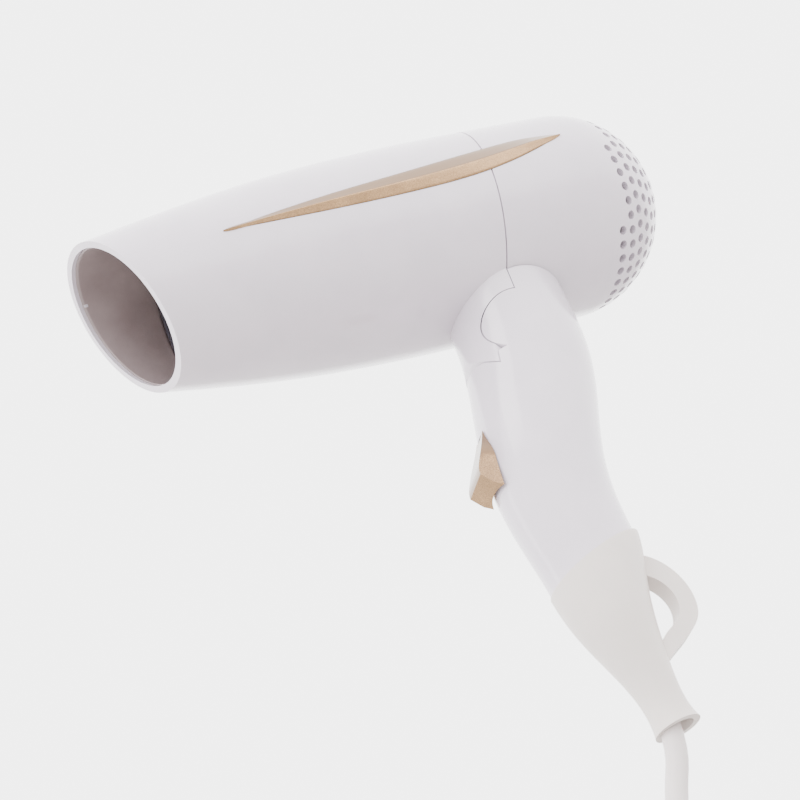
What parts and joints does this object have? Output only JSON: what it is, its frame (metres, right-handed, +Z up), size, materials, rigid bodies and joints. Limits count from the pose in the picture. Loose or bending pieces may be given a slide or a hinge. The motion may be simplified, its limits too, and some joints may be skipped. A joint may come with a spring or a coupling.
{
  "type": "hair dryer",
  "caption": "Pistol-shaped hair dryer with a slanted outlet, perforated dome inlet, folding curved handle, slide switch, hanging loop and mains cord.",
  "frame": {"origin": "middle of the hand grip, in the plane of symmetry", "axes": "-X along the barrel to the air outlet, +X to the inlet, +Z up from the grip to the barrel, -Y the near side"},
  "size_m": [0.2013, 0.0716, 0.4475],
  "materials": {
    "white_gloss": "glossy moulded plastic",
    "white_satin": "satin soft plastic",
    "gold": "champagne metallic lacquer",
    "liner_grey": "heat-resistant dark plastic",
    "mica": "translucent flaky mica",
    "shield": "mica paper tube",
    "heating_wire": "oxidised resistance wire",
    "steel": "plain steel",
    "zinc_steel": "zinc plated",
    "brass": "plain brass",
    "black_plastic": "fine matt texture",
    "board": "solder-masked board",
    "wire_insulation": "smooth insulation",
    "cord_white": "satin flexible sheath",
    "tie": "hook-and-loop strap",
    "plug_pin": "nickel plated"
  },
  "bodies": {
    "handle": {"handle_shell_left": "white_gloss", "handle_shell_right": "white_gloss", "handle_screws": "zinc_steel", "detent_plunger": "steel", "detent_spring": "steel", "switch_body": "black_plastic", "switch_terminals": "brass", "cord_boot": "white_satin", "cord_clamp": "black_plastic", "clamp_screws": "zinc_steel", "handle_leads": "wire_insulation", "cord_end": "cord_white", "cord": "cord_white", "cord_coil": "cord_white", "cord_tie": "tie", "cord_tail": "cord_white", "plug_body": "cord_white", "plug_pins": "plug_pin"},
    "barrel": {"front_barrel": "white_gloss", "rear_barrel": "white_gloss", "inlet_grille": "white_gloss", "trim_strip_left": "gold", "trim_strip_right": "gold", "outlet_guard": "liner_grey", "heat_shield": "shield", "heater_frame": "mica", "heating_coils": "heating_wire", "thermostat": "steel", "thermal_fuse": "steel", "fan_duct": "liner_grey", "dc_motor": "zinc_steel", "rectifier_board": "board", "lint_screen": "black_plastic", "barrel_leads": "wire_insulation"},
    "fan": {"fan_impeller": "black_plastic", "motor_shaft": "steel"},
    "switch": {"switch_slider": "gold"}
  },
  "joints": [
    {"name": "handle_fold", "type": "hinge", "parent": "handle", "child": "barrel", "pos_m": [0.008, 0, 0.0395], "axis": [0, -1, 0], "range_deg": [0, 57]},
    {"name": "fan_spin", "type": "hinge", "parent": "barrel", "child": "fan", "pos_m": [0.049, 0, 0.089], "axis": [1, 0, 0], "continuous": true},
    {"name": "switch_slide", "type": "slide", "parent": "handle", "child": "switch", "axis": [0.2571, 0, 0.9664], "range_m": [0, 0.008]}
  ]
}
